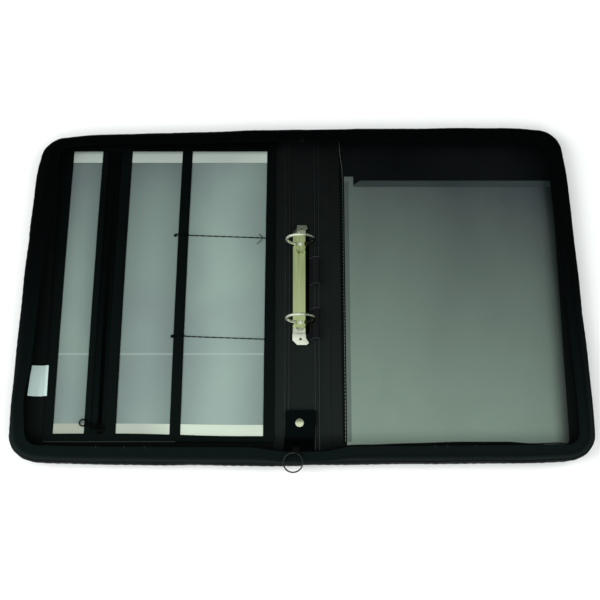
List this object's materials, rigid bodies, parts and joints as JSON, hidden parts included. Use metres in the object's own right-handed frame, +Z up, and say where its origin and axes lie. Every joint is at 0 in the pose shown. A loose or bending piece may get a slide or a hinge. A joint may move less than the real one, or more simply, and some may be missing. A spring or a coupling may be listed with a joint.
{
  "type": "zippered conference folder",
  "caption": "Zip-round ring folder lying open: clear card windows and an inner zip on the left cover, a ring mechanism on the spine, a clear pocket on the right cover.",
  "frame": {"origin": "middle of the spine's back, on the surface that the open folder lies on", "axes": "+X towards the right cover, +Y towards the head, +Z up out of the inside; the spine runs along Y"},
  "size_m": [0.5452, 0.3482, 0.0351],
  "materials": {
    "black_vinyl": "fine grained black vinyl, low sheen",
    "black_lining": "smooth black vinyl lining",
    "grey_board": "grey binder's board",
    "woven_tape": "woven black zip tape and elastic",
    "nylon_coil": "black nylon zip coil",
    "clear_vinyl": "clear frosted vinyl sheet, glossy",
    "pale_card": "pale backing card",
    "nickel": "nickel-plated steel, slightly warm",
    "black_metal": "black lacquered zinc and steel",
    "white_label": "bare white woven label",
    "black_thread": "black sewing thread"
  },
  "bodies": {
    "spine": {"spine_outer_skin": "black_vinyl", "spine_board": "grey_board", "spine_lining": "black_lining", "left_spine_seam_strip": "black_vinyl", "right_spine_seam_strip": "black_vinyl", "head_bellows": "black_vinyl", "tail_bellows": "black_vinyl", "zip_end_stop": "black_metal", "ring_housing": "nickel", "tail_rivet": "nickel", "head_rivet": "nickel", "head_pen_loop": "woven_tape", "tail_pen_loop": "woven_tape", "stud_post": "nickel"},
    "left_cover": {"left_cover_outer_skin": "black_vinyl", "left_cover_board": "grey_board", "left_cover_lining": "black_lining", "left_gusset": "black_vinyl", "left_zip_tape": "woven_tape", "left_zip_coil": "nylon_coil", "panel_backing": "pale_card", "narrow_window": "clear_vinyl", "middle_window": "clear_vinyl", "wide_window": "clear_vinyl", "panel_head_binding": "black_vinyl", "panel_tail_binding": "black_vinyl", "panel_outer_binding": "black_vinyl", "zip_outer_binding": "black_vinyl", "zip_inner_binding": "black_vinyl", "window_divider": "black_vinyl", "panel_inner_binding": "black_vinyl", "head_thread_divider": "black_thread", "tail_thread_divider": "black_thread", "bare_label": "white_label", "inner_zip_outer_tape": "woven_tape", "inner_zip_inner_tape": "woven_tape", "inner_zip_chain": "nylon_coil"},
    "right_cover": {"right_cover_outer_skin": "black_vinyl", "right_cover_board": "grey_board", "right_cover_lining": "black_lining", "right_gusset": "black_vinyl", "right_zip_tape": "woven_tape", "right_zip_coil": "nylon_coil", "clear_pocket": "clear_vinyl", "pocket_seam_strip": "black_vinyl"},
    "left_ring_leaf": {"left_leaf": "nickel", "head_ring_left_half": "nickel", "tail_ring_left_half": "nickel"},
    "right_ring_leaf": {"right_leaf": "nickel", "head_ring_right_half": "nickel", "tail_ring_right_half": "nickel"},
    "head_trigger": {"head_lever": "nickel"},
    "tail_trigger": {"tail_lever": "nickel"},
    "stud_strap": {"stud_tab": "black_vinyl", "stud_cap": "nickel", "stud_socket": "nickel"},
    "outer_slider": {"outer_zip_slider": "black_metal"},
    "split_ring": {"split_ring_puller": "black_metal"},
    "inner_slider": {"inner_zip_slider": "black_metal"},
    "inner_pull": {"inner_zip_pull": "black_metal"}
  },
  "joints": [
    {"name": "left_cover_fold", "type": "hinge", "parent": "spine", "child": "left_cover", "pos_m": [-0.022, 0, 0.004], "axis": [0, 1, 0], "range_deg": [0, 90], "deforming": ["head_bellows", "tail_bellows"]},
    {"name": "right_cover_fold", "type": "hinge", "parent": "spine", "child": "right_cover", "pos_m": [0.022, 0, 0.004], "axis": [0, -1, 0], "range_deg": [0, 90], "deforming": ["head_bellows", "tail_bellows"]},
    {"name": "ring_opening", "type": "hinge", "parent": "spine", "child": "left_ring_leaf", "pos_m": [-0.0077, 0.00795, 0.00585], "axis": [0, 1, 0], "range_deg": [-8, 0]},
    {"name": "ring_opening_right", "type": "hinge", "parent": "spine", "child": "right_ring_leaf", "pos_m": [0.0047, 0.00795, 0.00585], "axis": [0, -1, 0], "range_deg": [-8, 0]},
    {"name": "head_lever_press", "type": "hinge", "parent": "spine", "child": "head_trigger", "pos_m": [-0.0015, 0.05925, 0.0072], "axis": [1, 0, 0], "range_deg": [-18, 0]},
    {"name": "tail_lever_press", "type": "hinge", "parent": "spine", "child": "tail_trigger", "pos_m": [-0.0015, -0.04335, 0.0072], "axis": [-1, 0, 0], "range_deg": [-13.6, 0]},
    {"name": "stud_tab_lift", "type": "hinge", "parent": "spine", "child": "stud_strap", "pos_m": [-0.0015, -0.15075, 0.0051], "axis": [-1, 0, 0], "range_deg": [-70, 0]},
    {"name": "outer_slider_creep", "type": "slide", "parent": "spine", "child": "outer_slider", "axis": [0, -1, 0], "range_m": [0, 0.005]},
    {"name": "split_ring_swing", "type": "hinge", "parent": "outer_slider", "child": "split_ring", "pos_m": [-0.0057, -0.1618, 0.0233], "axis": [1, 0, 0], "range_deg": [-110, 0]},
    {"name": "inner_slider_travel", "type": "slide", "parent": "left_cover", "child": "inner_slider", "axis": [0, 1, 0], "range_m": [0, 0.27]},
    {"name": "inner_pull_flip", "type": "hinge", "parent": "inner_slider", "child": "inner_pull", "pos_m": [-0.1893, -0.13525, 0.0101], "axis": [0.3256, 0.9455, 0], "range_deg": [0, 150]}
  ],
  "couplings": [
    {"joint": "ring_opening_right", "follows": "ring_opening", "ratio": 1},
    {"joint": "head_lever_press", "follows": "ring_opening", "ratio": 2.25},
    {"joint": "tail_lever_press", "follows": "ring_opening", "ratio": 1.7}
  ]
}
